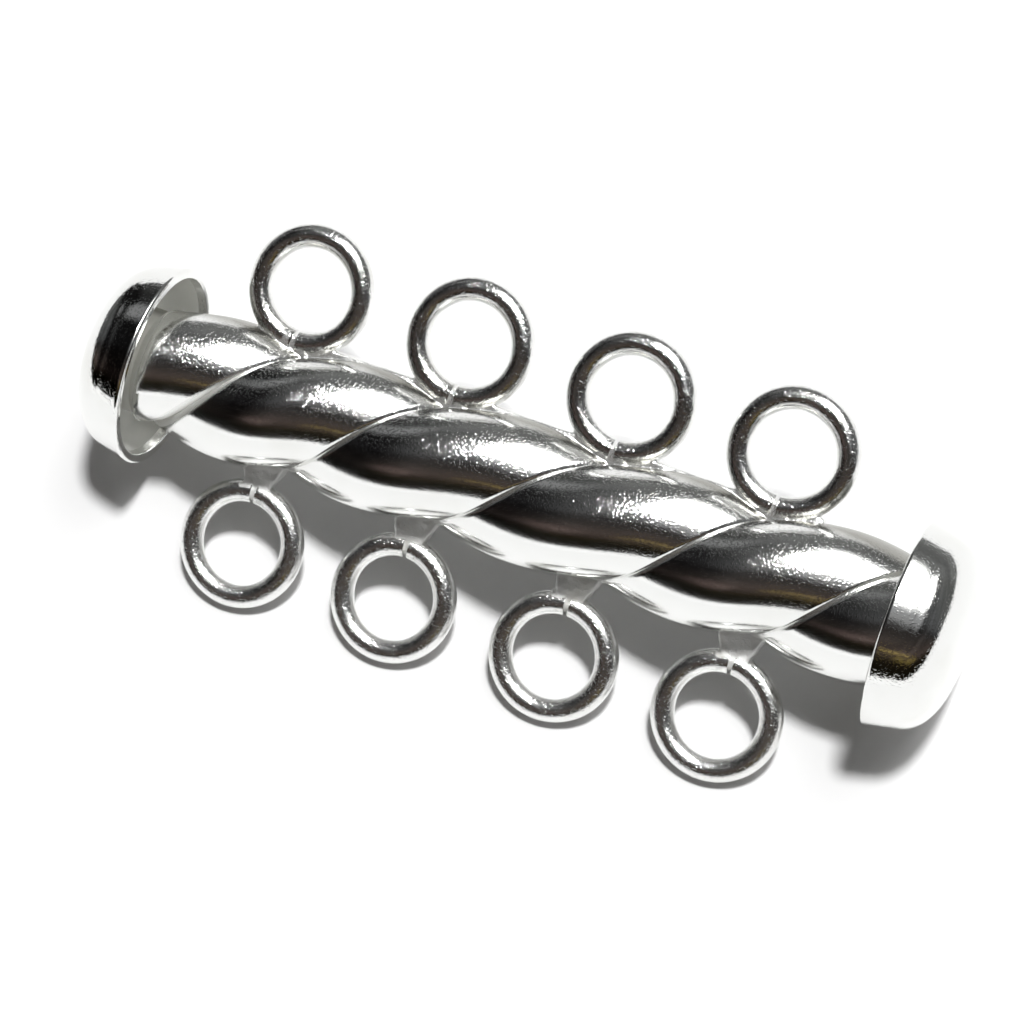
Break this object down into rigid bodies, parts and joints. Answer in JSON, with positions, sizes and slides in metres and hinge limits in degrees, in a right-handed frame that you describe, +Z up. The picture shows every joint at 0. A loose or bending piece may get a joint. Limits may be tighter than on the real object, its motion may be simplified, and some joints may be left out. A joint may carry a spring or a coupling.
{
  "type": "multi-strand slide clasp",
  "caption": "Slide clasp for a bracelet of several strands: a twisted, fluted tube with domed end caps and a row of wire rings along each side; the inner tube slides out.",
  "frame": {"origin": "on the table plane, below the middle of the clasp's box", "axes": "+X along the tubes, from the sliding inner tube's cap to the outer tube's cap; +Y towards the outer tube's row of rings, which stands up and back; +Z up from the table it lies on"},
  "size_m": [0.027, 0.0104, 0.0061],
  "materials": {
    "fluted_silver": "bright silver plate, polished, finely pitted",
    "plain_silver": "bright silver plate on drawn tube and wire",
    "cap_silver": "bright silver plate outside, softer inside"
  },
  "bodies": {
    "outer": {"outer_tube": "fluted_silver", "outer_end_cap": "cap_silver"},
    "inner": {"inner_tube": "plain_silver", "inner_end_cap": "cap_silver"}
  },
  "joints": [
    {"name": "clasp_slide", "type": "slide", "parent": "outer", "child": "inner", "axis": [-1, 0, 0], "range_m": [0, 0.0255]}
  ]
}
